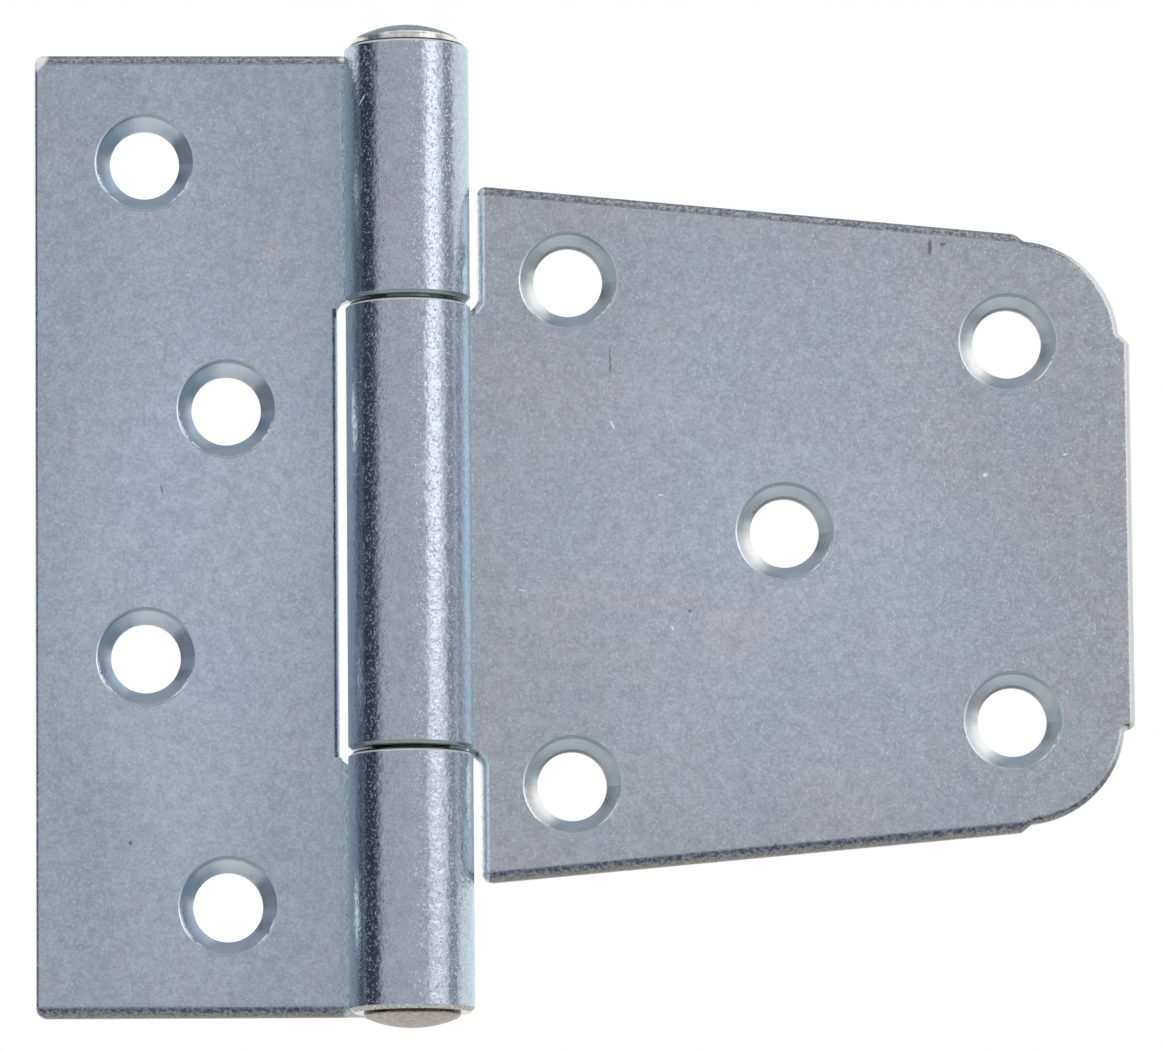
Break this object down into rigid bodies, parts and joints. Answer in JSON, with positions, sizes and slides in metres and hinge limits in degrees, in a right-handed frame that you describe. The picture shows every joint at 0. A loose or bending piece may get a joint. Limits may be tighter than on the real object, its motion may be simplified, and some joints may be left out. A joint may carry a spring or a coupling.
{
  "type": "tee hinge",
  "caption": "Heavy tee hinge with a tall rectangular pad leaf, a short tapered strap leaf and a peened pin through rolled knuckles.",
  "frame": {"origin": "on the mounting plane, straight behind the pin's axis, at the hinge's mid-height", "axes": "+Z along the pin, upwards as the hinge hangs a gate; -Y out of the front, where the knuckles and countersinks are; +X towards the strap's tip"},
  "size_m": [0.1343, 0.0152, 0.123],
  "materials": {
    "leaf_zinc": "zinc plated and clear passivated, finely mottled with a faint blue tint",
    "pin_zinc": "zinc plated, dulled grey-brown on the peened heads"
  },
  "bodies": {
    "pad": {"pad_leaf": "leaf_zinc", "pin": "pin_zinc"},
    "strap": {"strap_leaf": "leaf_zinc"}
  },
  "joints": [
    {"name": "strap_swing", "type": "hinge", "parent": "pad", "child": "strap", "pos_m": [0, -0.0076, 0], "axis": [0, 0, -1], "range_deg": [-95, 190]}
  ]
}
